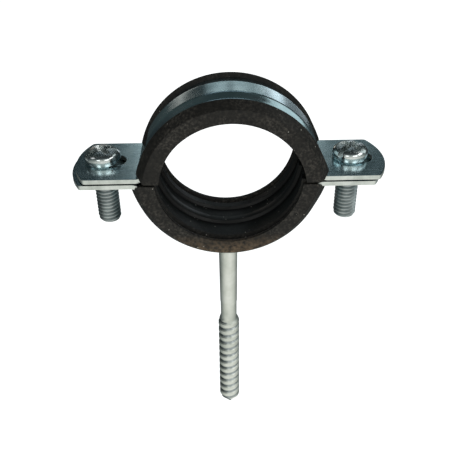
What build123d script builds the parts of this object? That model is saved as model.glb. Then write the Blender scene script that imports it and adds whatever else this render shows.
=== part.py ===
from build123d import *

import os
from math import cos, radians, sqrt

# Two-screw pipe clamp with a rubber lining, carried by a hanger bolt.
# Frame, in millimetres: the origin lies on the parting plane, over the bolt's axis. X runs along
# the ears, Y along the pipe, and Z points up, away from the bolt. The clamp is closed, ear on ear,
# and empty.

os.makedirs("parts", exist_ok=True)

# Steel strip, the same for both halves
strip_width = 20.0
strip_thickness = 1.2
band_radius = 22.0  # outer face of the arc
bend_radius = 1.6  # outer corner between arc and ear
ear_margin = 7.6  # from a screw's axis to the tip of its ear
ear_end_radius = 19.0
ear_corner_radius = 2.0
ear_gap = 0.3  # between the closed ears

# The arcs are struck for a larger pipe than the closed clamp leaves room for
upper_drop = 2.6  # arc centre below the parting plane
lower_rise = 1.9  # arc centre above the parting plane
upper_shift = 1.0  # play of the slots, taken up towards +X

# Raised bead along each arc, hollow inside
bead_height = 0.75
bead_top_width = 6.8
bead_flank = 0.8  # run of each sloping side
bead_full_angle = 124.0  # of full height
bead_angle = 146.0  # to where it has faded out
bead_root = 0.4  # overlap with the strip

# Rubber lining
liner_wall = 1.0  # over the strip's edges
lip_overlap = 3.0  # over the strip's outer face
lip_height = 1.2
lip_land = 1.0  # width of the lip's crown
lip_bevel = 2.2  # from the crown to the face
lip_bevel_drop = 1.7
liner_base = 1.9  # between the strip and the floor of the bore
rib_height = 0.75
rib_width = 2.0
rib_slope = 0.4
rib_offset = 7.0  # from the middle rib to each side rib
groove_depth = 0.35  # below the floor, beside the edge ribs
lip_rounding = 0.35
face_rounding = 0.3
liner_end_gap = 0.5  # between the two linings
liner_end_flat = 2.3  # flat part of an end, out from the floor of the bore

# Clamp screws
screw_from_band = 8.8  # from the arc's outer face to a screw's axis
screw_diameter = 5.8
screw_length = 16.5
screw_point_length = 0.8
screw_point_inset = 0.4
screw_clearance = 0.05  # in the tapped ears
screw_slot_length = 9.4
screw_slot_width = 7.0
head_diameter = 8.9
head_side = 2.4
head_dome = 1.8
head_edge = 0.6
driver_slot_width = 1.2
driver_slot_depth = 1.6
cross_length = 5.2
cross_width = 1.5
cross_depth = 2.5
cross_taper = 12.0
left_recess_angle = 35.0
right_recess_angle = -20.0

# Weld nut
nut_across_flats = 10.0
nut_height = 3.2
nut_chamfer = 0.5

# Hanger bolt
machine_diameter = 6.0
machine_clearance = 0.05
machine_chamfer = 0.6
bolt_top_inset = 0.3  # below the strip's inner face
machine_run_out = 0.5  # below the nut
shank_top_diameter = 5.1
shank_end_diameter = 4.8
shank_length = 20.0
neck_diameter = 4.6
neck_shoulder = 0.6
neck_length = 6.0
wood_thread_diameter = 6.1
wood_thread_length = 32.0
wood_run_in = 1.8
point_length = 3.4
point_diameter = 0.8

# Places that follow
half_spacing = band_radius + screw_from_band
ear_reach = half_spacing + ear_margin  # from the half's middle to the tip of an ear
ear_low = ear_gap / 2
ear_high = ear_low + strip_thickness
band_inner_radius = band_radius - strip_thickness
floor_radius = band_inner_radius - liner_base
crest_radius = floor_radius - rib_height
crown_radius = band_radius + lip_height
liner_half_width = strip_width / 2 + liner_wall
nut_top_radius = band_radius + bead_height
nut_bottom = lower_rise - nut_top_radius - nut_height
bolt_top = lower_rise - band_inner_radius - bolt_top_inset
shank_top = nut_bottom - machine_run_out
shank_bottom = nut_bottom - shank_length
wood_top = shank_bottom - neck_length
wood_bottom = wood_top - wood_thread_length
bolt_tip = wood_bottom - point_length
far = 4 * ear_reach  # longer than the clamp in every direction


def arc_axis(drop, shift):
    """Axis of an upper arc, along the pipe."""
    return Axis((shift, 0, -drop), (0, 1, 0))


def arc_section(drop, shift):
    """Plane through that axis: x along the pipe, y outwards from the arc's centre."""
    return Plane(origin=(shift, 0, -drop), x_dir=(0, 1, 0), z_dir=(1, 0, 0))


def fade_circle(radius):
    """Height over the arc's centre, and radius, of the circle that lets a bead fade out."""
    full = radius + bead_height
    full_reach = full * cos(radians(bead_full_angle / 2))
    end_reach = radius * cos(radians(bead_angle / 2))
    height = (full**2 - radius**2) / (2 * (full_reach - end_reach))
    return height, sqrt(full**2 - 2 * full_reach * height + height**2)


def bead(drop, shift, radius):
    """A bead on a cylinder of this radius, of full height over most of the arc."""
    fade_height, fade_radius = fade_circle(radius)
    top = bead_top_width / 2
    foot = top + bead_flank
    with BuildPart() as ridge:
        with BuildSketch(arc_section(drop, shift)):
            with BuildLine():
                Polyline(
                    (-foot, radius - bead_root),
                    (-foot, radius),
                    (-top, radius + bead_height),
                    (top, radius + bead_height),
                    (foot, radius),
                    (foot, radius - bead_root),
                    close=True,
                )
            make_face()
        revolve(axis=arc_axis(drop, shift))
        with BuildSketch(Plane.XZ):
            with Locations((shift, fade_height - drop)):
                Circle(fade_radius)
        extrude(amount=foot, both=True, mode=Mode.INTERSECT)
    return ridge.part


def ear_outline(shift):
    """Both ears and the strip between them, seen from above."""
    side = strip_width / 2
    corner = ear_reach - ear_end_radius + sqrt(ear_end_radius**2 - side**2)
    with BuildSketch(Plane(origin=(shift, 0, 0))) as outline:
        with BuildLine():
            Line((-corner, side), (corner, side))
            ThreePointArc((corner, side), (ear_reach, 0), (corner, -side))
            Line((corner, -side), (-corner, -side))
            ThreePointArc((-corner, -side), (-ear_reach, 0), (-corner, side))
        make_face()
        fillet(outline.vertices(), ear_corner_radius)
    return outline.sketch


def half_band(drop, shift):
    """An upper half band without holes: bent strip, rounded ears and bead."""
    with BuildPart() as band:
        with BuildSketch(Plane.XZ) as bend:
            with Locations((shift, -drop)):
                Circle(band_radius)
            with Locations((shift, ear_low)):
                Rectangle(2 * ear_reach, strip_thickness, align=(Align.CENTER, Align.MIN))
            with Locations((shift, -drop)):
                Circle(band_inner_radius, mode=Mode.SUBTRACT)
            with Locations((shift, ear_low)):
                Rectangle(far, far, align=(Align.CENTER, Align.MAX), mode=Mode.SUBTRACT)
            near_arc = bend.vertices().filter_by_position(Axis.X, shift - band_radius, shift + band_radius)
            inside, outside = near_arc.group_by(Axis.Y)[:2]
            fillet(outside, bend_radius)
            fillet(inside, bend_radius + strip_thickness)
        extrude(amount=strip_width / 2, both=True)
        extrude(ear_outline(shift), amount=far, both=True, mode=Mode.INTERSECT)
        add(bead(drop, shift, band_radius))
        add(bead(drop, shift, band_inner_radius), mode=Mode.SUBTRACT)
    return band.part


def half_liner(drop, shift, band):
    """An upper half lining: channel over the strip's edges, ribbed bore, chamfered ends."""
    half = liner_half_width
    strip_edge = strip_width / 2
    crown = half - lip_bevel
    edge_rib = half - rib_width / 2
    rib_inside = rib_offset - rib_width / 2
    rib_outside = rib_offset + rib_width / 2
    groove = floor_radius + groove_depth
    right_side = [
        (strip_edge, band_inner_radius),
        (strip_edge, band_radius),
        (strip_edge - lip_overlap, band_radius),
        (crown - lip_land, crown_radius),
        (crown, crown_radius),
        (half, crown_radius - lip_bevel_drop),
        (half, crest_radius),
        (edge_rib, crest_radius),
        (edge_rib - rib_slope, groove),
        (rib_outside + rib_slope, groove),
        (rib_outside, crest_radius),
        (rib_inside, crest_radius),
        (rib_inside - rib_slope, floor_radius),
        (rib_width / 2 + rib_slope, floor_radius),
        (rib_width / 2, crest_radius),
    ]
    left_side = [(-along, out) for along, out in reversed(right_side)]
    with BuildPart() as liner:
        with BuildSketch(arc_section(drop, shift)) as section:
            with BuildLine():
                Polyline(*right_side, *left_side, close=True)
            make_face()
            fillet(section.vertices().group_by(Axis.Y)[-1], lip_rounding)
            corners = section.vertices().group_by(Axis.X)
            fillet(corners[0] + corners[-1], face_rounding)
        revolve(axis=arc_axis(drop, shift))

        end = liner_end_gap / 2
        flat = sqrt(floor_radius**2 - (drop + end) ** 2) + liner_end_flat
        with BuildSketch(Plane.XZ):
            with BuildLine():
                Polyline(
                    (shift - flat - far, end + far),
                    (shift - flat, end),
                    (shift + flat, end),
                    (shift + flat + far, end + far),
                    (shift + flat + far, -far),
                    (shift - flat - far, -far),
                    close=True,
                )
            make_face()
        extrude(amount=far, both=True, mode=Mode.SUBTRACT)
        add(band, mode=Mode.SUBTRACT)
    return liner.part


def clamp_screw(place, recess_angle):
    """Cheese head screw with a domed top, a driver slot and a cross recess."""
    head_radius = head_diameter / 2
    shank_radius = screw_diameter / 2
    head_top = head_side + head_dome
    dome_radius = (head_radius**2 + head_dome**2) / (2 * head_dome)
    seat = Plane(origin=(place, 0, ear_high), x_dir=(1, 0, 0), z_dir=(0, -1, 0))
    with BuildPart() as screw:
        with BuildSketch(seat):
            with BuildLine():
                Polyline(
                    (0, head_top),
                    (0, -screw_length),
                    (shank_radius - screw_point_inset, -screw_length),
                    (shank_radius, screw_point_length - screw_length),
                    (shank_radius, 0),
                    (head_radius - head_edge, 0),
                    (head_radius, head_edge),
                    (head_radius, head_side),
                )
                RadiusArc((head_radius, head_side), (0, head_top), -dome_radius)
            make_face()
        revolve(axis=Axis((place, 0, 0), (0, 0, 1)))

        top = Plane.XY.offset(ear_high + head_top)
        with BuildSketch(top):
            with Locations((place, 0)):
                Rectangle(head_diameter, driver_slot_width, rotation=recess_angle)
        extrude(amount=-driver_slot_depth, mode=Mode.SUBTRACT)
        with BuildSketch(top):
            with Locations((place, 0)):
                Rectangle(cross_length, cross_width, rotation=recess_angle)
                Rectangle(cross_width, cross_length, rotation=recess_angle)
        extrude(amount=-cross_depth, taper=cross_taper, mode=Mode.SUBTRACT)
    return screw.part


with BuildPart() as upper_band:
    add(half_band(upper_drop, upper_shift))
    with BuildSketch(Plane.XY):
        with Locations((upper_shift - half_spacing, 0), (upper_shift + half_spacing, 0)):
            SlotOverall(screw_slot_length, screw_slot_width)
    extrude(amount=far, mode=Mode.SUBTRACT)

upper_band.part.label = "upper_band"
export_step(upper_band.part, "parts/upper_band.step")

with BuildPart() as lower_band:
    add(half_band(lower_rise, 0))
    mirror(about=Plane.XY, mode=Mode.REPLACE)
    with BuildSketch(Plane.XY):
        with Locations((-half_spacing, 0), (half_spacing, 0)):
            Circle(screw_diameter / 2 + screw_clearance)
        Circle(machine_diameter / 2 + machine_clearance)
    extrude(amount=-far, mode=Mode.SUBTRACT)

lower_band.part.label = "lower_band"
export_step(lower_band.part, "parts/lower_band.step")

with BuildPart() as upper_liner:
    add(half_liner(upper_drop, upper_shift, half_band(upper_drop, upper_shift)))

upper_liner.part.label = "upper_liner"
export_step(upper_liner.part, "parts/upper_liner.step")

with BuildPart() as lower_liner:
    add(half_liner(lower_rise, 0, half_band(lower_rise, 0)))
    mirror(about=Plane.XY, mode=Mode.REPLACE)

lower_liner.part.label = "lower_liner"
export_step(lower_liner.part, "parts/lower_liner.step")

with BuildPart() as left_clamp_screw:
    add(clamp_screw(-half_spacing, left_recess_angle))

left_clamp_screw.part.label = "left_clamp_screw"
export_step(left_clamp_screw.part, "parts/left_clamp_screw.step")

with BuildPart() as right_clamp_screw:
    add(clamp_screw(half_spacing, right_recess_angle))

right_clamp_screw.part.label = "right_clamp_screw"
export_step(right_clamp_screw.part, "parts/right_clamp_screw.step")

with BuildPart() as weld_nut:
    with BuildSketch(Plane.XY.offset(nut_bottom)):
        RegularPolygon(nut_across_flats / 2, 6, major_radius=False)
    extrude(amount=2 * nut_height)
    chamfer(weld_nut.edges().group_by(Axis.Z)[0], nut_chamfer)
    with BuildSketch(Plane.XZ):
        with Locations((0, lower_rise)):
            Circle(nut_top_radius)
    extrude(amount=nut_across_flats, both=True, mode=Mode.SUBTRACT)
    with BuildSketch(Plane.XY):
        Circle(machine_diameter / 2 + machine_clearance)
    extrude(amount=-far, mode=Mode.SUBTRACT)

weld_nut.part.label = "weld_nut"
export_step(weld_nut.part, "parts/weld_nut.step")

with BuildPart() as hanger_bolt:
    machine = machine_diameter / 2
    neck = neck_diameter / 2
    crest = wood_thread_diameter / 2
    with BuildSketch(Plane.XZ):
        with BuildLine():
            Polyline(
                (0, bolt_top),
                (machine - machine_chamfer, bolt_top),
                (machine, bolt_top - machine_chamfer),
                (machine, nut_bottom),
                (shank_top_diameter / 2, shank_top),
                (shank_end_diameter / 2, shank_bottom),
                (neck, shank_bottom - neck_shoulder),
                (neck, wood_top),
                (crest, wood_top - wood_run_in),
                (crest, wood_bottom),
                (point_diameter / 2, bolt_tip),
                (0, bolt_tip),
                close=True,
            )
        make_face()
    revolve(axis=Axis.Z)

hanger_bolt.part.label = "hanger_bolt"
export_step(hanger_bolt.part, "parts/hanger_bolt.step")
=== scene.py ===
from math import asin, atan2, ceil, cos, degrees, hypot, pi, radians, sin, sqrt, tan

import bmesh
import bpy
from mathutils import Matrix, Vector


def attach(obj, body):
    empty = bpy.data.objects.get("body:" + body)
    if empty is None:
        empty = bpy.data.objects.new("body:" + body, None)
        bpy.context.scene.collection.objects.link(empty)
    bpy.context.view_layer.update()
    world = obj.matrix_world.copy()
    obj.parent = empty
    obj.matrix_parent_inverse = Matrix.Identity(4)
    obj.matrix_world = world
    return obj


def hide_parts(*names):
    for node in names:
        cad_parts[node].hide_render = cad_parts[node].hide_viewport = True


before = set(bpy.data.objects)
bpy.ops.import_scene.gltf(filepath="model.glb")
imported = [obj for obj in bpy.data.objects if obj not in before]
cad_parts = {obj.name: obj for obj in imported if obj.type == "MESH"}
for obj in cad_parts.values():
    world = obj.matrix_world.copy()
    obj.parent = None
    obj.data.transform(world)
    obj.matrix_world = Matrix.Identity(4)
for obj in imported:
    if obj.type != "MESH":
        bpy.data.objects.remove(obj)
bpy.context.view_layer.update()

# Two-screw pipe clamp with a rubber lining, on a hanger bolt. The shapes are made in
# millimetres, in the frame of the solids, and brought to metres as they are finished.
MM = 0.001
WELD = 0.002  # points nearer than this are one
SHARP = 38.0  # an edge that turns by more degrees than this is shaded as a sharp one

# ---------------------------------------------------------------- sizes

# Steel strip, the same for both halves
strip_half = 10.0  # half its width
strip_thickness = 1.2
band_radius = 22.0
bend_radius = 1.6
ear_margin = 7.6  # from the screw to the ear's end
ear_end_radius = 19.0  # of the ear's gently curved end
ear_corner_radius = 0.9
ear_low = 0.15  # half the gap between the ears
cut_edge = 0.16  # rounding of a sheared edge
band_columns = 50  # faces from the strip's middle to its edge, and then along its arc and bend
band_arc_steps = 56
band_bend_steps = 14
ear_end_steps = 8
hole_steps = 16  # in a quarter of its rim

# Each half: how far its arc's centre lies past the parting plane, its play, its side, and how
# far the lining's left and right ends flare at the lips and crowd into the bore
upper = {"drop": 2.6, "shift": 1.0, "side": 1, "flare": (0.35, 0.9), "crowd": (0.45, 0.15)}
lower = {"drop": 1.9, "shift": 0.0, "side": -1, "flare": (0.45, 1.0), "crowd": (0.5, 0.0)}

# Pressed bead
bead_height = 1.0
bead_top = 3.0  # from the middle to where the flank starts
bead_foot = 5.8
bead_full_angle = 60.0  # either side of the top
bead_end_angle = 74.0

# Rubber lining
liner_half = 11.0
lip_overlap = 1.9  # how far a lip reaches in over the strip
lip_height = 1.2
lip_land = 0.4  # the flat along a lip's crown
lip_bevel = 2.2  # from the crown out to the end face
lip_bevel_drop = 1.7
liner_base = 1.9
rib_height = 0.75
rib_width = 2.0
rib_slope = 0.4
rib_offset = 7.0
groove_depth = 0.35
moulded_edge = 0.22  # rounding of a moulded edge
liner_end_gap = 0.5
liner_end_flat = 2.3
flare_turn = 26.0  # over this much of the arc the lips stand off the bend to the ears
crowd_turn = 48.0  # and over this much the bore is pressed inwards
liner_arc_steps = 60

# Clamp screws
screw_from_band = 8.8  # from the band's outer face to the screw's axis
screw_radius = 2.9
screw_core_radius = 2.35
screw_pitch = 1.0
screw_crest_width = 0.125
screw_floor_width = 0.2
screw_length = 16.5
screw_point_length = 0.8
screw_point_inset = 0.4
slot_radius = 3.5  # of the upper ears' long holes
slot_straight = 1.2  # half the length of their straight sides
tapped_radius = 2.95  # of the lower ears' holes
head_radius = 4.45
head_side = 1.2
head_dome = 2.2
head_fullness = 0.77  # below 1 the dome is flatter on top and fuller at its shoulder
dome_steps = 14
head_edge = 0.45
struck_radius = 3.7  # the part of the head's top that the punch has marked
driver_slot = (1.2, 1.8)  # width, depth
cross_mouth = (6.4, 1.7)  # length, width of each bar of the cross at the top
cross_floor = (2.6, 1.0)
cross_depth = 2.4
pressed_edge = 0.12  # rounding of a cold-formed edge
left_recess_turn = 35.0
right_recess_turn = 44.0

# Hanger bolt
nut_bottom = -24.05
bolt_top = -19.2
bolt_tip = -85.45
machine_radius = 3.0
machine_chamfer = 0.6
machine_run_out = 0.5
shank_top_radius = 2.55
shank_end_radius = 2.4
shank_bottom = -44.05
neck_radius = 2.3
neck_shoulder = 0.15
wood_top = -50.05
wood_bottom = -82.05
wood_run_in = 0.8
wood_radius = 3.05
wood_core_radius = 2.5
wood_pitch = 2.6
wood_crest_width = 1.1
wood_floor_width = 0.3
point_radius = 0.4

# Places that follow
ear_high = ear_low + strip_thickness
screw_place = band_radius + screw_from_band
ear_reach = screw_place + ear_margin
band_inside = band_radius - strip_thickness
floor_radius = band_inside - liner_base
crest_radius = floor_radius - rib_height
crown_radius = band_radius + lip_height

# ---------------------------------------------------------------- modelling helpers


def piece(name, bm, materials, body, slot, *nodes):
    """Finish a mesh made in millimetres as a piece that rides on a body and stands for solids."""
    for face in bm.faces:
        face.smooth = True
    for edge in bm.edges:
        edge.smooth = edge.calc_face_angle(0.0) < radians(SHARP)
    bmesh.ops.scale(bm, vec=(MM, MM, MM), verts=bm.verts)
    mesh = bpy.data.meshes.new(name)
    bm.to_mesh(mesh)
    bm.free()
    for finish in materials:
        mesh.materials.append(finish)
    obj = bpy.data.objects.new(name, mesh)
    bpy.context.scene.collection.objects.link(obj)
    level = obj.modifiers.new("level faces", "WEIGHTED_NORMAL")
    level.keep_sharp = True
    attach(obj, body)
    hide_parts(*nodes)
    return obj


def everything(bm):
    return bm.verts[:] + bm.edges[:] + bm.faces[:]


def swing(bm, start, centre, axis, angle, steps):
    """Vertices on an arc of up to half a turn, in order from the one that starts it."""
    before = set(bm.verts)
    bmesh.ops.spin(bm, geom=[start], cent=centre, axis=axis, angle=angle, steps=steps)
    made = [v for v in bm.verts if v not in before]
    return [start] + sorted(made, key=lambda v: (v.co - start.co).length)


def round_edges(bm, width, least_angle, segments=2):
    """Round every edge that turns by more than an angle in degrees."""
    edges = [e for e in bm.edges if e.calc_face_angle(0.0) > radians(least_angle)]
    bmesh.ops.bevel(
        bm, geom=edges, offset=width, offset_type="OFFSET", affect="EDGES", segments=segments,
        profile=0.5, clamp_overlap=True, material=-1,
    )


def turned(outline, steps=72):
    """A closed solid of revolution about Z, from its outline of radius and height."""
    bm = bmesh.new()
    verts = [bm.verts.new((radius, 0, height)) for radius, height in outline]
    edges = [bm.edges.new(pair) for pair in zip(verts, verts[1:])]
    bmesh.ops.spin(
        bm, geom=verts + edges, cent=(0, 0, 0), axis=(0, 0, 1), angle=2 * pi, steps=steps,
        use_merge=True,
    )
    bmesh.ops.remove_doubles(bm, verts=bm.verts, dist=WELD)
    bmesh.ops.recalc_face_normals(bm, faces=bm.faces)
    return bm


def cut_away(bm, cutters):
    """Cut closed shapes out of a closed shape."""
    def loose(shape):
        mesh = bpy.data.meshes.new("loose")
        shape.to_mesh(mesh)
        shape.free()
        obj = bpy.data.objects.new("loose", mesh)
        bpy.context.scene.collection.objects.link(obj)
        return obj

    body = loose(bm)
    tools = [loose(cutter) for cutter in cutters]
    for tool in tools:
        cut = body.modifiers.new("cut", "BOOLEAN")
        cut.operation = "DIFFERENCE"
        cut.solver = "EXACT"
        cut.object = tool
    depsgraph = bpy.context.evaluated_depsgraph_get()
    mesh = bpy.data.meshes.new_from_object(body.evaluated_get(depsgraph))
    result = bmesh.new()
    result.from_mesh(mesh)
    for obj in [body, *tools]:
        bpy.data.meshes.remove(obj.data)
    bpy.data.meshes.remove(mesh)
    return result


def join(bm, other):
    """Add a second closed shape to the first, and spend it."""
    mesh = bpy.data.meshes.new("joined")
    other.to_mesh(mesh)
    other.free()
    bm.from_mesh(mesh)
    bpy.data.meshes.remove(mesh)


def cap(bm, place, direction):
    """Cut off what lies past a plane, and close the shape there."""
    cut = bmesh.ops.bisect_plane(
        bm, geom=everything(bm), plane_co=place, plane_no=direction, clear_outer=True, dist=WELD / 10
    )
    rim = [g for g in cut["geom_cut"] if isinstance(g, bmesh.types.BMEdge)]
    bmesh.ops.contextual_create(bm, geom=rim)


def threaded_rod(top, bottom, crest, core, pitch, crest_width, floor_width, envelope, steps=48):
    """A closed rod with a right-hand thread: one pitch of its outline, wound round the axis."""
    flank = (pitch - crest_width - floor_width) / 2
    outline = [
        (crest, 0),
        (crest, crest_width),
        ((crest + core) / 2, crest_width + flank / 2),
        (core, crest_width + flank),
        (core, crest_width + flank + floor_width),
        ((crest + core) / 2, pitch - flank / 2),
        (crest, pitch),
    ]
    turns = ceil((top - bottom) / pitch) + 2
    bm = bmesh.new()
    verts = [bm.verts.new((radius, 0, bottom - pitch + along)) for radius, along in outline]
    edges = [bm.edges.new(pair) for pair in zip(verts, verts[1:])]
    bmesh.ops.spin(
        bm, geom=verts + edges, cent=(0, 0, 0), axis=(0, 0, 1), dvec=(0, 0, pitch / steps),
        angle=2 * pi * turns, steps=steps * turns,
    )
    bmesh.ops.remove_doubles(bm, verts=bm.verts, dist=WELD)
    for vert in bm.verts:
        radius = hypot(vert.co.x, vert.co.y)
        limit = envelope(vert.co.z)
        if radius > limit:
            vert.co.x *= limit / radius
            vert.co.y *= limit / radius
    cap(bm, (0, 0, top), (0, 0, 1))
    cap(bm, (0, 0, bottom), (0, 0, -1))
    bmesh.ops.recalc_face_normals(bm, faces=bm.faces)
    return bm


def between(places):
    """A radius that runs straight from each (height, radius) to the next, the highest first."""
    def radius(height):
        for (high, at_high), (low, at_low) in zip(places, places[1:]):
            if height >= low:
                share = min(1.0, max(0.0, (high - height) / (high - low)))
                return at_high + (at_low - at_high) * share
        return places[-1][1]
    return radius


def smooth_step(low, high, value):
    """From 0 at the low value to 1 at the high one, level at both."""
    share = min(1.0, max(0.0, (value - low) / (high - low)))
    return share * share * (3 - 2 * share)


def set_in_half(bm, half):
    """Turn a shape that was made the upper way up to its own side, and put it in its place."""
    if half["side"] < 0:
        bmesh.ops.scale(bm, vec=(1, 1, -1), verts=bm.verts)
    bmesh.ops.translate(bm, vec=(half["shift"], 0, 0), verts=bm.verts)
    bmesh.ops.recalc_face_normals(bm, faces=bm.faces)


# ---------------------------------------------------------------- pieces


def half_band(half, hole_radius, hole_straight):
    """A strip with a pressed bead, bent to an arc, and out again into a punched ear."""
    drop = half["drop"]
    bend_height = ear_high + bend_radius
    bend_distance = band_radius + bend_radius
    bend_place = sqrt(bend_distance**2 - (bend_height + drop) ** 2)
    arc_turn = atan2(bend_place, bend_height + drop)

    bm = bmesh.new()
    middle = bm.verts.new((0, 0, band_radius - drop))
    edge = bm.verts.new((0, strip_half, band_radius - drop))
    bmesh.ops.subdivide_edges(bm, edges=[bm.edges.new((middle, edge))], cuts=band_columns - 1)
    bmesh.ops.spin(
        bm, geom=everything(bm), cent=(0, 0, -drop), axis=(0, 1, 0), angle=arc_turn,
        steps=band_arc_steps,
    )
    for vert in bm.verts:
        turn = atan2(vert.co.x, vert.co.z + drop)
        side = 1 - smooth_step(bead_top, bead_foot, vert.co.y)
        fade = 1 - smooth_step(bead_full_angle, bead_end_angle, degrees(turn))
        vert.co += Vector((sin(turn), 0, cos(turn))) * bead_height * side * fade

    def last_row():
        reach = max(v.co.x for v in bm.verts)
        return sorted((v for v in bm.verts if v.co.x > reach - WELD), key=lambda v: v.co.y)

    row = last_row()
    across = [bm.edges.get(pair) for pair in zip(row, row[1:])]
    bmesh.ops.spin(
        bm, geom=row + across, cent=(bend_place, 0, bend_height), axis=(0, 1, 0), angle=-arc_turn,
        steps=band_bend_steps,
    )
    row = last_row()

    tip = bm.verts.new((ear_reach, 0, ear_high))
    end_centre = (ear_reach - ear_end_radius, 0, ear_high)
    end_turn = asin(strip_half / ear_end_radius)
    end = swing(bm, tip, end_centre, (0, 0, 1), end_turn, ear_end_steps)
    hole_far = bm.verts.new((screw_place + hole_straight + hole_radius, 0, ear_high))
    far_centre = (screw_place + hole_straight, 0, ear_high)
    hole = swing(bm, hole_far, far_centre, (0, 0, 1), pi / 2, hole_steps)
    start = hole[-1]
    if hole_straight:
        start = bm.verts.new((screw_place - hole_straight, hole_radius, ear_high))
        hole.append(start)
    near_centre = (screw_place - hole_straight, 0, ear_high)
    hole += swing(bm, start, near_centre, (0, 0, 1), pi / 2, hole_steps)[1:]
    bm.faces.new(row + end[::-1] + hole)
    corner_reach = ear_corner_radius * tan((pi / 2 - end_turn) / 2)
    bmesh.ops.bevel(
        bm, geom=[end[-1]], offset=corner_reach, affect="VERTICES", segments=4, profile=0.5,
        clamp_overlap=True, material=-1,
    )

    bmesh.ops.mirror(bm, geom=everything(bm), axis="Y", merge_dist=WELD)
    bmesh.ops.mirror(bm, geom=everything(bm), axis="X", merge_dist=WELD)
    bmesh.ops.remove_doubles(bm, verts=bm.verts, dist=WELD)
    bmesh.ops.recalc_face_normals(bm, faces=bm.faces)
    crown = max(bm.faces, key=lambda f: f.calc_center_median().z)
    if crown.normal.z < 0:
        bmesh.ops.reverse_faces(bm, faces=bm.faces)
    bmesh.ops.solidify(bm, geom=bm.faces[:], thickness=strip_thickness)
    bm.normal_update()
    for face in bm.faces:
        sideways = abs(face.normal.y) > 0.6
        on_ear = abs(face.calc_center_median().x) > bend_place + bend_radius
        sheared = sideways or (on_ear and abs(face.normal.z) < 0.3)
        face.material_index = 1 if sheared else 0
    round_edges(bm, cut_edge, 60)
    set_in_half(bm, half)
    return bm


def settle_ends(bm, half):
    """Near each end the bend to the ear pushes the lips out, and the bore is crowded inwards."""
    drop = half["drop"]
    for vert in bm.verts:
        turn = degrees(atan2(abs(vert.co.x), vert.co.z + drop))
        radius = hypot(vert.co.x, vert.co.z + drop)
        end = 0 if vert.co.x < 0 else 1
        out = 0.0
        if abs(vert.co.y) > strip_half - lip_overlap - WELD:
            out = smooth_step(band_inside, band_radius, radius) * smooth_step(90 - flare_turn, 90, turn)
        inward = 1 - smooth_step(floor_radius, band_inside, radius)
        inward *= smooth_step(90 - crowd_turn, 90, turn)
        scale = 1 + (half["flare"][end] * out - half["crowd"][end] * inward) / radius
        vert.co.x *= scale
        vert.co.z = (vert.co.z + drop) * scale - drop


def half_liner(half):
    """A moulded channel that grips the strip's edges, with ribs on the side of the pipe."""
    drop = half["drop"]
    crown = liner_half - lip_bevel
    edge_rib = liner_half - rib_width / 2
    rib_inside = rib_offset - rib_width / 2
    rib_outside = rib_offset + rib_width / 2
    groove = floor_radius + groove_depth
    section = [
        (0, crest_radius),
        (rib_width / 2, crest_radius),
        (rib_width / 2 + rib_slope, floor_radius),
        (rib_inside - rib_slope, floor_radius),
        (rib_inside, crest_radius),
        (rib_outside, crest_radius),
        (rib_outside + rib_slope, groove),
        (edge_rib - rib_slope, groove),
        (edge_rib, crest_radius),
        (liner_half, crest_radius),
        (liner_half, crown_radius - lip_bevel_drop),
        (crown, crown_radius),
        (crown - lip_land, crown_radius),
        (strip_half - lip_overlap, band_radius),
        (strip_half, band_radius),
        (strip_half, band_inside),
        (0, band_inside),
    ]
    bm = bmesh.new()
    verts = [bm.verts.new((0, along, out - drop)) for along, out in section]
    edges = [bm.edges.new(pair) for pair in zip(verts, verts[1:])]
    bmesh.ops.spin(
        bm, geom=verts + edges, cent=(0, 0, -drop), axis=(0, 1, 0), angle=pi / 2,
        steps=liner_arc_steps,
    )
    bmesh.ops.mirror(bm, geom=everything(bm), axis="Y", merge_dist=WELD)
    bmesh.ops.remove_doubles(bm, verts=bm.verts, dist=WELD)
    end = liner_end_gap / 2
    flat = sqrt(floor_radius**2 - (drop + end) ** 2) + liner_end_flat
    cap(bm, (0, 0, end), (0, 0, -1))
    cap(bm, (flat, 0, end), (1, 0, -1))
    bmesh.ops.mirror(bm, geom=everything(bm), axis="X", merge_dist=WELD)
    bmesh.ops.remove_doubles(bm, verts=bm.verts, dist=WELD)
    settle_ends(bm, half)
    set_in_half(bm, half)
    round_edges(bm, moulded_edge, 25)
    return bm


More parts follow.
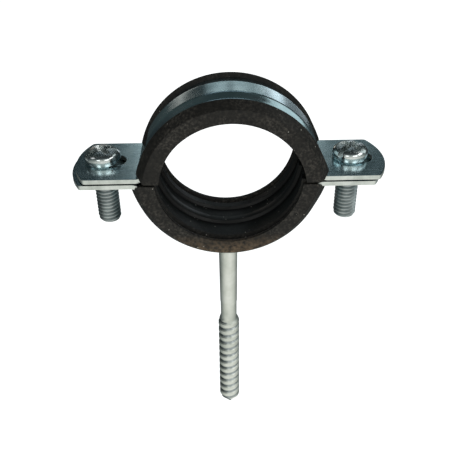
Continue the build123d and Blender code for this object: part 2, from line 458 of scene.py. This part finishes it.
def clamp_screw(place, recess_turn):
    """Raised cheese head screw, cold formed, with a driver slot across a cross recess."""
    top = ear_high + head_side + head_dome
    dome = []
    for step in range(dome_steps + 1):
        turn = pi / 2 * step / dome_steps
        fall = head_dome * (1 - cos(turn) ** head_fullness)
        dome.append((head_radius * sin(turn) ** head_fullness, top - fall))
    head = turned([
        *dome,
        (head_radius, ear_high + head_edge),
        (head_radius - head_edge, ear_high),
        (0, ear_high),
    ])

    def bar(mouth, floor, depth):
        """A cutter with these lengths and widths at the head's top and at its floor."""
        shape = bmesh.new()
        bmesh.ops.create_cube(shape, size=1)
        length, width = (2 * above - below for above, below in zip(mouth, floor))
        bmesh.ops.scale(shape, vec=(length, width, 2 * depth), verts=shape.verts)
        low = [v for v in shape.verts if v.co.z < 0]
        bmesh.ops.scale(shape, vec=(floor[0] / length, floor[1] / width, 1), verts=low)
        bmesh.ops.translate(shape, vec=(0, 0, top), verts=shape.verts)
        return shape

    slot_width, slot_depth = driver_slot
    along, across = (bar(cross_mouth, cross_floor, cross_depth) for _ in range(2))
    bmesh.ops.rotate(across, matrix=Matrix.Rotation(pi / 2, 3, "Z"), verts=across.verts)
    slot = (4 * head_radius, slot_width)
    head = cut_away(head, [bar(slot, slot, slot_depth), along, across])
    round_edges(head, pressed_edge, 40)
    for face in head.faces:
        middle = face.calc_center_median()
        above_edge = middle.z > ear_high + head_edge
        struck = above_edge and hypot(middle.x, middle.y) < struck_radius
        face.material_index = 1 if struck else 0
    end = ear_high - screw_length
    envelope = between([
        (ear_high, screw_radius),
        (end + screw_point_length, screw_radius),
        (end, screw_radius - screw_point_inset),
    ])
    shank = threaded_rod(
        ear_high + head_edge, end, screw_radius, screw_core_radius, screw_pitch,
        screw_crest_width, screw_floor_width, envelope,
    )
    # The whole thread takes the darker zinc: painted shade under the ear
    for face in shank.faces:
        face.material_index = 2
    join(head, shank)
    set_in_ear = Matrix.Translation((place, 0, 0)) @ Matrix.Rotation(radians(recess_turn), 4, "Z")
    bmesh.ops.transform(head, matrix=set_in_ear, verts=head.verts)
    return head


def hanger_bolt():
    """A rod, turned and rolled: machine end, bright shank, neck and coarse wood thread."""
    shoulder = shank_bottom - neck_shoulder
    rod = turned([
        (0, bolt_top),
        (machine_radius - machine_chamfer, bolt_top),
        (machine_radius, bolt_top - machine_chamfer),
        (machine_radius, nut_bottom),
        (shank_top_radius, nut_bottom - machine_run_out),
        (shank_end_radius, shank_bottom),
        (neck_radius, shoulder),
        (0, shoulder),
    ])
    envelope = between([
        (wood_top, neck_radius),
        (wood_top - wood_run_in, wood_radius),
        (wood_bottom, wood_radius),
        (bolt_tip, point_radius),
    ])
    thread = threaded_rod(
        shoulder + neck_shoulder / 2, bolt_tip, wood_radius, wood_core_radius, wood_pitch,
        wood_crest_width, wood_floor_width, envelope,
    )
    # Faces down in the full thread's groove take the darker zinc: painted shade in the groove
    groove = (wood_radius + wood_core_radius) / 2
    for face in thread.faces:
        middle = face.calc_center_median()
        full_thread = middle.z < wood_top - wood_run_in
        in_groove = full_thread and hypot(middle.x, middle.y) < groove
        face.material_index = 1 if in_groove else 0
    join(rod, thread)
    return rod


# ---------------------------------------------------------------- finishes


def linear(code):
    """An sRGB hex colour as linear light."""
    parts = [int(code[k:k + 2], 16) / 255 for k in (1, 3, 5)]
    return [c / 12.92 if c <= 0.04045 else ((c + 0.055) / 1.055) ** 2.4 for c in parts] + [1.0]


def add(tree, kind, inputs=None, **settings):
    """Add a node with its settings, and fill or link its inputs."""
    made = tree.nodes.new(kind)
    for name, value in settings.items():
        setattr(made, name, value)
    for name, value in (inputs or {}).items():
        if isinstance(value, bpy.types.NodeSocket):
            tree.links.new(value, made.inputs[name])
        else:
            made.inputs[name].default_value = value
    return made


def material(name, metallic, ior=None):
    made = bpy.data.materials.new(name)
    made.use_nodes = True
    tree = made.node_tree
    shader = tree.nodes["Principled BSDF"]
    shader.inputs["Metallic"].default_value = metallic
    if ior:
        shader.inputs["IOR"].default_value = ior
    where = add(tree, "ShaderNodeTexCoord").outputs["Object"]
    return made, tree, shader, where


def per_mm(size):
    """Scale of a pattern on metre coordinates whose grain is this many millimetres."""
    return 1 / (size * MM)


wave_length = 8.0  # of the strip's gentle unevenness


def zinc(name, tints, roughness, cloud_mm, grain_mm, stretch=(1.0, 1.0, 1.0), relief_mm=0.0024,
         wave_mm=0.0):
    """Electroplated zinc, passivated: a metal whose film shifts its tint in soft clouds, over
    the fine lines that rolling or drawing left in the steel."""
    dark, mid, light = tints
    smoothest, roughest = roughness
    made, tree, shader, where = material(name, 1.0)
    clouds = add(tree, "ShaderNodeTexNoise", {
        "Vector": where, "Scale": per_mm(cloud_mm), "Detail": 3.0, "Roughness": 0.55})
    tint = add(tree, "ShaderNodeValToRGB", {"Fac": clouds.outputs["Fac"]})
    ramp = tint.color_ramp
    ramp.elements[0].position = 0.32
    ramp.elements[0].color = linear(dark)
    ramp.elements[1].position = 0.7
    ramp.elements[1].color = linear(light)
    ramp.elements.new(0.5).color = linear(mid)
    lines_place = add(tree, "ShaderNodeMapping", {"Vector": where, "Scale": stretch})
    lines = add(tree, "ShaderNodeTexNoise", {
        "Vector": lines_place.outputs["Vector"], "Scale": per_mm(grain_mm), "Detail": 2.0})
    sheen = add(tree, "ShaderNodeMapRange", {
        "Value": lines.outputs["Fac"], "From Min": 0.3, "From Max": 0.7,
        "To Min": smoothest, "To Max": roughest})
    waves = add(tree, "ShaderNodeTexNoise", {
        "Vector": where, "Scale": per_mm(wave_length), "Detail": 1.0})
    wavy = add(tree, "ShaderNodeBump", {
        "Height": waves.outputs["Fac"], "Strength": 1.0, "Distance": wave_mm * MM})
    bump = add(tree, "ShaderNodeBump", {
        "Height": lines.outputs["Fac"], "Strength": 1.0, "Distance": relief_mm * MM,
        "Normal": wavy.outputs["Normal"]})
    tree.links.new(tint.outputs["Color"], shader.inputs["Base Color"])
    tree.links.new(sheen.outputs["Result"], shader.inputs["Roughness"])
    tree.links.new(bump.outputs["Normal"], shader.inputs["Normal"])
    return made


# Rubber: where the bore, glossier and darker in a painted shade, gives way to the outer faces, lighter
# and scuffed, from the middle outwards, and where the brown dust starts and is full, from above down
# and from behind forwards
outer_from, outer_full = 7.2, 8.8
dust_top, dust_bottom = -14.0, -22.0
dust_back, dust_front = -9.0, -10.6


def moulded_rubber():
    """EPDM rubber, moulded: near black and matt, scuffed grey in places, with pale specks of dust all
    over and brown dust rubbed into the front of its underside. Its bore is painted darker than its
    outer faces, as shade inside the ring."""
    made, tree, shader, where = material("epdm_rubber_moulded", 0.0, ior=1.52)
    shader.inputs["Specular IOR Level"].default_value = 0.16

    def cloud(size_mm, detail, low, high):
        noise = add(tree, "ShaderNodeTexNoise", {
            "Vector": where, "Scale": per_mm(size_mm), "Detail": detail, "Roughness": 0.62})
        return add(tree, "ShaderNodeMapRange", {
            "Value": noise.outputs["Fac"], "From Min": low, "From Max": high}).outputs["Result"]

    def times(first, second):
        return add(tree, "ShaderNodeMath", {0: first, 1: second}, operation="MULTIPLY").outputs["Value"]

    def mixed(share, under, over):
        return add(tree, "ShaderNodeMixRGB", {
            "Fac": share, "Color1": under, "Color2": linear(over)}).outputs["Color"]

    place = add(tree, "ShaderNodeSeparateXYZ", {"Vector": where})
    from_middle = add(tree, "ShaderNodeMath", {0: place.outputs["Y"]}, operation="ABSOLUTE")
    outer = add(tree, "ShaderNodeMapRange", {
        "Value": from_middle.outputs["Value"],
        "From Min": outer_from * MM, "From Max": outer_full * MM}).outputs["Result"]
    mottle = cloud(size_mm=1.6, detail=8.0, low=0.34, high=0.68)
    colour = mixed(mottle, linear("#141414"), "#1e1e1d")
    # The outer faces are lighter than the bore: the bore's darkness is painted shade inside the ring
    colour = mixed(times(outer, cloud(0.8, 8.0, 0.3, 0.72)), colour, "#292724")
    scuffs = times(times(outer, cloud(0.6, 8.0, 0.46, 0.7)), cloud(7.0, 3.0, 0.36, 0.6))
    colour = mixed(scuffs, colour, "#504c47")

    # Brown dust: from the front lip's underside up, where a hand has set the clamp down
    low_down = add(tree, "ShaderNodeMapRange", {
        "Value": place.outputs["Z"],
        "From Min": dust_top * MM, "From Max": dust_bottom * MM}).outputs["Result"]
    in_front = add(tree, "ShaderNodeMapRange", {
        "Value": place.outputs["Y"],
        "From Min": dust_back * MM, "From Max": dust_front * MM}).outputs["Result"]
    dust = times(times(low_down, in_front), cloud(0.9, 8.0, 0.34, 0.64))
    colour = mixed(dust, colour, "#8b755d")

    # Specks of about a tenth of a millimetre, drawn a little larger so that they show
    specks = add(tree, "ShaderNodeTexVoronoi", {"Vector": where, "Scale": per_mm(1.5)})
    dot = add(tree, "ShaderNodeMapRange", {
        "Value": specks.outputs["Distance"], "From Min": 0.1, "From Max": 0.06}).outputs["Result"]
    colour = mixed(times(dot, cloud(5.0, 2.0, 0.46, 0.56)), colour, "#c4c0b8")

    grain = add(tree, "ShaderNodeTexNoise", {
        "Vector": where, "Scale": per_mm(0.45), "Detail": 5.0, "Roughness": 0.7})
    bump = add(tree, "ShaderNodeBump", {
        "Height": grain.outputs["Fac"], "Strength": 0.5, "Distance": 0.08 * MM})
    rough = add(tree, "ShaderNodeMapRange", {"Value": outer, "To Min": 0.34, "To Max": 0.52})
    tree.links.new(colour, shader.inputs["Base Color"])
    tree.links.new(rough.outputs["Result"], shader.inputs["Roughness"])
    tree.links.new(bump.outputs["Normal"], shader.inputs["Normal"])
    return made


# Rolled strip under a blue passivate: cool, with rolling lines along the ears, never quite flat
strip_zinc = zinc(
    "blue_passivated_zinc_strip", tints=("#a9c0c6", "#bfd4da", "#d2e3e6"), roughness=(0.16, 0.26),
    cloud_mm=7.0, grain_mm=0.3, stretch=(0.08, 1.0, 1.0), relief_mm=0.001, wave_mm=0.012,
)
# Its sheared edges: the same zinc over torn steel, so paler, rougher and less blue
sheared_edge = zinc(
    "zinc_over_sheared_steel", tints=("#c2c8c2", "#d6dbd6", "#e4e8e3"), roughness=(0.38, 0.55),
    cloud_mm=3.0, grain_mm=0.25, stretch=(1.0, 1.0, 0.2),
)
# Cold-formed screw, bright plated
screw_zinc = zinc(
    "bright_zinc_screw", tints=("#bcc3c3", "#d2d7d6", "#e4e8e6"), roughness=(0.12, 0.22),
    cloud_mm=3.0, grain_mm=0.3,
)
# The marked top of its head: pits and ridges, each with a glint of its own
struck_zinc = zinc(
    "struck_zinc_screw", tints=("#a3a8a8", "#c4c9c8", "#e6eae8"), roughness=(0.14, 0.3),
    cloud_mm=0.9, grain_mm=0.45, relief_mm=0.12,
)
# Its rolled thread, rough and dull, with darker tints that are painted shade: of the ear over each
# screw's thread, and down in the groove of the wood thread
shaded_thread_zinc = zinc(
    "dull_zinc_thread_painted_shade", tints=("#92999a", "#abb1b1", "#c2c8c7"), roughness=(0.3, 0.45),
    cloud_mm=3.0, grain_mm=0.3,
)
# Drawn rod, plated and handled until it is dull
bolt_zinc = zinc(
    "dull_zinc_rod", tints=("#cdd1c9", "#dcdfd7", "#e9ebe5"), roughness=(0.36, 0.5),
    cloud_mm=5.0, grain_mm=0.3, stretch=(1.0, 1.0, 0.1),
)
# Turned nut, plated with the strip it is welded to
nut_zinc = zinc(
    "zinc_plated_nut", tints=("#a9b4b2", "#bfc8c6", "#d2d9d6"), roughness=(0.28, 0.4),
    cloud_mm=4.0, grain_mm=0.3,
)
lining_rubber = moulded_rubber()

# ---------------------------------------------------------------- assembly

# The first finish is a piece's plain surface. Its function gives some faces the others.
strip_finishes = (strip_zinc, sheared_edge)
screw_finishes = (screw_zinc, struck_zinc, shaded_thread_zinc)
bolt_finishes = (bolt_zinc, shaded_thread_zinc)
liner_finishes = (lining_rubber,)
piece("upper_band_steel", half_band(upper, slot_radius, slot_straight),
      strip_finishes, "upper_half", "zinc_strip", "upper_band")
piece("lower_band_steel", half_band(lower, tapped_radius, 0.0),
      strip_finishes, "lower_half", "zinc_strip", "lower_band")
piece("upper_liner_rubber", half_liner(upper),
      liner_finishes, "upper_half", "lining_rubber", "upper_liner")
piece("lower_liner_rubber", half_liner(lower),
      liner_finishes, "lower_half", "lining_rubber", "lower_liner")
piece("left_screw_steel", clamp_screw(-screw_place, left_recess_turn),
      screw_finishes, "left_screw", "zinc_screw", "left_clamp_screw")
piece("right_screw_steel", clamp_screw(screw_place, right_recess_turn),
      screw_finishes, "right_screw", "zinc_screw", "right_clamp_screw")
piece("hanger_bolt_steel", hanger_bolt(),
      bolt_finishes, "bolt", "zinc_bolt", "hanger_bolt")

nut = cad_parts["weld_nut"]
nut.data.materials.clear()
nut.data.materials.append(nut_zinc)

# ---------------------------------------------------------------- floor, light and camera

floor_drop = 100.0  # below the bolt's tip
floor_half = 3000.0

# Where the window lies, and the room's tones from straight away from it (0) to straight at it (1)
window_direction = (0.14, -0.82, -0.55)
room_tones = (
    (0.0, "#283031"),
    (0.1, "#3b4545"),
    (0.23, "#2b2f30"),
    (0.42, "#4f5759"),
    (0.5, "#737c7b"),
    (0.68, "#b5bab6"),
    (0.8, "#dde0db"),
    (0.93, "#f4f6f1"),
    (1.0, "#fdfefb"),
)


def stage_floor():
    """Matt white paper under a light of its own, so bright that it has no shadows. Polished
    metal would carry its glare, so it is kept out of the reflections."""
    bm = bmesh.new()
    bmesh.ops.create_grid(bm, x_segments=1, y_segments=1, size=floor_half * MM)
    bmesh.ops.translate(bm, vec=(0, 0, (bolt_tip - floor_drop) * MM), verts=bm.verts)
    mesh = bpy.data.meshes.new("floor")
    bm.to_mesh(mesh)
    bm.free()
    paper, _, shader, _ = material("matt_white_paper", 0.0)
    shader.inputs["Base Color"].default_value = linear("#fbfbfb")
    shader.inputs["Roughness"].default_value = 0.9
    shader.inputs["Emission Color"].default_value = linear("#ffffff")
    shader.inputs["Emission Strength"].default_value = 0.9
    mesh.materials.append(paper)
    floor = bpy.data.objects.new("floor", mesh)
    bpy.context.scene.collection.objects.link(floor)
    floor.visible_glossy = False
    floor.visible_diffuse = False


def room():
    """A dim room with one broad pale window in front and below the eye. Only its light falls
    on the object: straight into the lens it is as white as the floor."""
    world = bpy.data.worlds.new("pale_room")
    bpy.context.scene.world = world
    world.use_nodes = True
    tree = world.node_tree
    background = tree.nodes["Background"]
    towards = add(tree, "ShaderNodeVectorMath", {
        0: add(tree, "ShaderNodeTexCoord").outputs["Generated"],
        1: Vector(window_direction).normalized()}, operation="DOT_PRODUCT")
    facing = add(tree, "ShaderNodeMapRange", {
        "Value": towards.outputs["Value"], "From Min": -1.0, "From Max": 1.0})
    ramp = add(tree, "ShaderNodeValToRGB", {"Fac": facing.outputs["Result"]})
    stops = ramp.color_ramp.elements
    stops[0].color = linear(room_tones[0][1])
    stops[1].color = linear(room_tones[-1][1])
    for position, tone in room_tones[1:-1]:
        stops.new(position).color = linear(tone)
    tree.links.new(ramp.outputs["Color"], background.inputs["Color"])
    background.inputs["Strength"].default_value = 1.0
    white = add(tree, "ShaderNodeBackground", {"Color": linear("#ffffff"), "Strength": 1.0})
    seen = add(tree, "ShaderNodeLightPath").outputs["Is Camera Ray"]
    mixed = add(tree, "ShaderNodeMixShader", {
        "Fac": seen, 1: background.outputs["Background"], 2: white.outputs["Background"]})
    tree.links.new(mixed.outputs["Shader"], tree.nodes["World Output"].inputs["Surface"])


def soft_light(name, azimuth, elevation, size, radiance, distance=900.0, tint="#ffffff"):
    """A softbox that looks at the clamp. Azimuth 0 is straight behind it, growing to the right."""
    width, height = size
    light = bpy.data.lights.new(name, "AREA")
    light.shape = "RECTANGLE"
    light.size = width * MM
    light.size_y = height * MM
    light.energy = radiance * pi * width * height * MM**2
    light.color = linear(tint)[:3]
    obj = bpy.data.objects.new(name, light)
    turn, rise = radians(azimuth), radians(elevation)
    obj.location = Vector((sin(turn) * cos(rise), cos(turn) * cos(rise), sin(rise))) * distance * MM
    obj.rotation_euler = (-obj.location).to_track_quat("-Z", "Y").to_euler()
    obj.visible_camera = False
    bpy.context.scene.collection.objects.link(obj)


def camera():
    """In front of the clamp and above it, looking down at it."""
    elevation, turn, roll = 33.861, 1.903, -0.109
    eye = Vector((-2.406, -146.28, 75.91))
    lens_data = bpy.data.cameras.new("camera")
    lens_data.sensor_fit = "HORIZONTAL"
    lens_data.sensor_width = 36.0
    lens_data.lens = 49.48
    lens_data.clip_start = 0.01
    lens_data.clip_end = 20.0
    cam = bpy.data.objects.new("camera", lens_data)
    bpy.context.scene.collection.objects.link(cam)
    cam.matrix_world = (
        Matrix.Translation(eye * MM)
        @ Matrix.Rotation(radians(-turn), 4, "Z")
        @ Matrix.Rotation(radians(90 - elevation), 4, "X")
        @ Matrix.Rotation(radians(roll), 4, "Z")
    )
    bpy.context.scene.camera = cam


stage_floor()
room()
soft_light("front_left_softbox", azimuth=-154, elevation=35,
           size=(220, 190), radiance=2.3, distance=700.0)
soft_light("front_right_softbox", azimuth=148, elevation=36,
           size=(330, 190), radiance=2.3, distance=700.0)
soft_light("right_softbox", azimuth=104, elevation=40,
           size=(320, 240), radiance=2.4, distance=700.0)
soft_light("left_softbox", azimuth=-98, elevation=44, size=(200, 240), radiance=0.8, distance=700.0)
soft_light("right_rear_softbox", azimuth=64, elevation=32,
           size=(400, 600), radiance=0.9, tint="#eefafa")
soft_light("high_back_softbox", azimuth=0, elevation=45,
           size=(500, 200), radiance=0.5, tint="#dceefa")
soft_light("back_softbox", azimuth=3.5, elevation=17, size=(450, 200), radiance=0.4, tint="#e4f4f6")
soft_light("left_band_softbox", azimuth=-5, elevation=27,
           size=(120, 110), radiance=0.95, tint="#e8f4f4")
soft_light("right_band_softbox", azimuth=7.5, elevation=25,
           size=(125, 90), radiance=0.65, tint="#e8f4f4")
soft_light("left_back_softbox", azimuth=-16, elevation=3.5,
           size=(180, 180), radiance=0.75, tint="#fff4ea")
soft_light("right_back_softbox", azimuth=19, elevation=8,
           size=(180, 130), radiance=1.55, tint="#eef8ff")
soft_light("low_back_softbox", azimuth=18, elevation=-6,
           size=(160, 250), radiance=0.75, tint="#eef8ff")
camera()
bpy.context.scene.view_settings.view_transform = "Standard"
